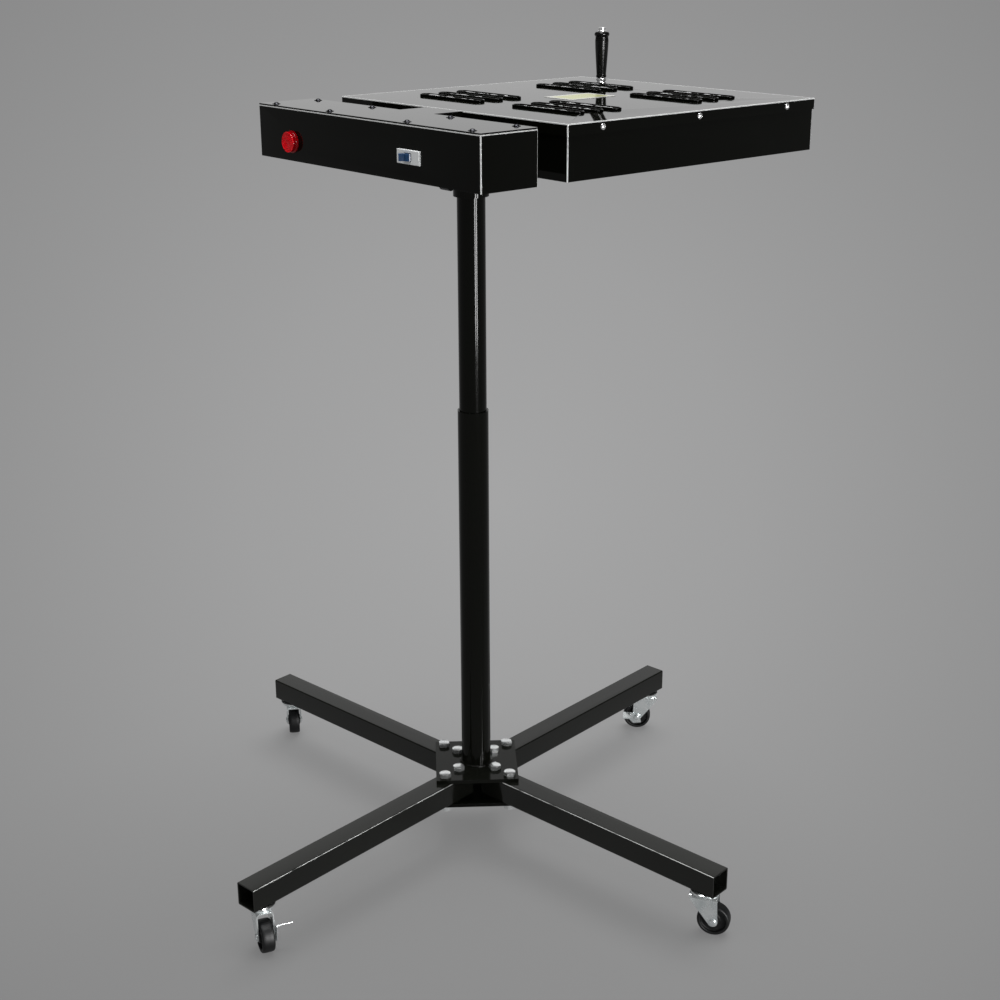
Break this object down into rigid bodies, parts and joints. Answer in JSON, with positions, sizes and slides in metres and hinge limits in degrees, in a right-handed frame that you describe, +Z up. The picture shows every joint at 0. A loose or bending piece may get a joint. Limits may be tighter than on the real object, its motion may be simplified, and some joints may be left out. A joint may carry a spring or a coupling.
{
  "type": "screen printing flash dryer",
  "caption": "Mobile flash dryer: a square infrared heater and its control box on a telescoping mast, above a bolted cross of square tube on swivel casters.",
  "frame": {"origin": "on the mast's axis at the floor, in the middle of the four casters", "axes": "+Z up along the mast, -Y to the control panel's side, +X to the right of someone facing the panel"},
  "size_m": [0.941, 0.9234, 1.1946],
  "materials": {
    "black_powder_coat": "satin black powder coat",
    "black_enamel_tube": "glossy black enamel",
    "black_gloss_sheet": "glossy black painted sheet",
    "zinc_fastener": "zinc plated",
    "caster_zinc": "bright zinc plated pressings",
    "zinc_sheet": "zinc plated sheet",
    "black_screw": "black oxide",
    "bright_screw": "bright nickel plate",
    "guard_wire": "bright wire, heat tinted",
    "reflector_aluminium": "polished",
    "foil_blanket": "fibre blanket faced with foil",
    "heater_sheath": "oxidised heater sheath",
    "steatite": "glazed cream",
    "black_nylon": "moulded, fine grain",
    "black_grip": "moulded, semi gloss",
    "red_lens": "clear red, faceted",
    "white_moulding": "moulded, semi gloss",
    "blue_moulding": "moulded, semi gloss",
    "cream_moulding": "moulded, semi gloss",
    "wheel_black": "moulded black tread and hub"
  },
  "bodies": {
    "base": {"base_plate_top": "black_powder_coat", "base_plate_bottom": "black_powder_coat", "leg_front": "black_powder_coat", "leg_right": "black_powder_coat", "leg_rear": "black_powder_coat", "leg_left": "black_powder_coat", "leg_bolts": "zinc_fastener", "leg_nuts": "zinc_fastener", "outer_tube": "black_powder_coat", "guide_bush": "black_nylon", "caster_head_front": "caster_zinc", "caster_head_right": "caster_zinc", "caster_head_rear": "caster_zinc", "caster_head_left": "caster_zinc"},
    "mast": {"inner_tube": "black_enamel_tube"},
    "mast_lock": {"mast_lock": "black_nylon"},
    "head": {"swivel_socket": "black_powder_coat", "socket_bolts": "zinc_fastener", "control_chassis": "black_gloss_sheet", "control_cover": "black_gloss_sheet", "cover_screws": "black_screw", "neck_duct": "black_gloss_sheet", "heater_case": "black_gloss_sheet", "heater_lid": "black_gloss_sheet", "lid_screws": "bright_screw", "reflector_tray": "reflector_aluminium", "insulation_blanket": "foil_blanket", "heating_tubes": "heater_sheath", "tube_caps": "steatite", "tube_rails": "zinc_sheet", "wire_guard": "guard_wire", "pilot_lens": "red_lens", "pilot_body": "black_nylon", "pilot_nut": "black_nylon", "breaker_body": "white_moulding", "din_rail": "zinc_sheet", "terminal_block": "cream_moulding", "cord_gland": "black_nylon", "gland_nut": "black_nylon", "handle_post": "bright_screw", "handle_ferrule": "bright_screw"},
    "head_lock": {"head_lock": "black_nylon"},
    "toggle": {"breaker_toggle": "blue_moulding"},
    "grip": {"handle_grip": "black_grip"},
    "caster_front": {"fork_front": "caster_zinc", "axle_front": "caster_zinc"},
    "wheel_front": {"wheel_front": "wheel_black"},
    "brake_front": {"brake_lever_front": "caster_zinc"},
    "caster_right": {"fork_right": "caster_zinc", "axle_right": "caster_zinc"},
    "wheel_right": {"wheel_right": "wheel_black"},
    "caster_rear": {"fork_rear": "caster_zinc", "axle_rear": "caster_zinc"},
    "wheel_rear": {"wheel_rear": "wheel_black"},
    "brake_rear": {"brake_lever_rear": "caster_zinc"},
    "caster_left": {"fork_left": "caster_zinc", "axle_left": "caster_zinc"},
    "wheel_left": {"wheel_left": "wheel_black"}
  },
  "joints": [
    {"name": "mast_slide", "type": "slide", "parent": "base", "child": "mast", "axis": [0, 0, 1], "range_m": [-0.3, 0.13]},
    {"name": "mast_lock_turn", "type": "hinge", "parent": "base", "child": "mast_lock", "pos_m": [-0.03546, 0.02771, 0.632], "axis": [-0.788, 0.6157, 0], "range_deg": [0, 270]},
    {"name": "head_swivel", "type": "hinge", "parent": "mast", "child": "head", "pos_m": [0, 0, 1], "axis": [0, 0, 1], "continuous": true},
    {"name": "head_lock_turn", "type": "hinge", "parent": "head", "child": "head_lock", "pos_m": [-0.045, 0, 1.0115], "axis": [-1, 0, 0], "range_deg": [0, 270]},
    {"name": "breaker_switch", "type": "hinge", "parent": "head", "child": "toggle", "pos_m": [0.1015, -0.1857, 1.069], "axis": [0, 0, 1], "range_deg": [0, 76]},
    {"name": "grip_spin", "type": "hinge", "parent": "head", "child": "grip", "pos_m": [-0.122, 0.366, 1.15], "axis": [0, 0, 1], "continuous": true},
    {"name": "caster_swivel_front", "type": "hinge", "parent": "base", "child": "caster_front", "pos_m": [0.05338, -0.43473, 0.061], "axis": [0, 0, 1], "continuous": true},
    {"name": "wheel_spin_front", "type": "hinge", "parent": "caster_front", "child": "wheel_front", "pos_m": [0.06717, -0.43922, 0.0235], "axis": [0.309, 0.9511, 0], "continuous": true},
    {"name": "brake_press_front", "type": "hinge", "parent": "caster_front", "child": "brake_front", "pos_m": [0.06717, -0.43922, 0.0235], "axis": [0.309, 0.9511, 0], "range_deg": [0, 36]},
    {"name": "caster_swivel_right", "type": "hinge", "parent": "base", "child": "caster_right", "pos_m": [0.43473, 0.05338, 0.061], "axis": [0, 0, 1], "continuous": true},
    {"name": "wheel_spin_right", "type": "hinge", "parent": "caster_right", "child": "wheel_right", "pos_m": [0.44703, 0.06106, 0.0235], "axis": [-0.5299, 0.848, 0], "continuous": true},
    {"name": "caster_swivel_rear", "type": "hinge", "parent": "base", "child": "caster_rear", "pos_m": [-0.05338, 0.43473, 0.061], "axis": [0, 0, 1], "continuous": true},
    {"name": "wheel_spin_rear", "type": "hinge", "parent": "caster_rear", "child": "wheel_rear", "pos_m": [-0.06398, 0.42485, 0.0235], "axis": [0.682, -0.7314, 0], "continuous": true},
    {"name": "brake_press_rear", "type": "hinge", "parent": "caster_rear", "child": "brake_rear", "pos_m": [-0.06398, 0.42485, 0.0235], "axis": [0.682, -0.7314, 0], "range_deg": [-36, 0]},
    {"name": "caster_swivel_left", "type": "hinge", "parent": "base", "child": "caster_left", "pos_m": [-0.43473, -0.05338, 0.061], "axis": [0, 0, 1], "continuous": true},
    {"name": "wheel_spin_left", "type": "hinge", "parent": "caster_left", "child": "wheel_left", "pos_m": [-0.44703, -0.04569, 0.0235], "axis": [-0.5299, -0.848, 0], "continuous": true}
  ]
}
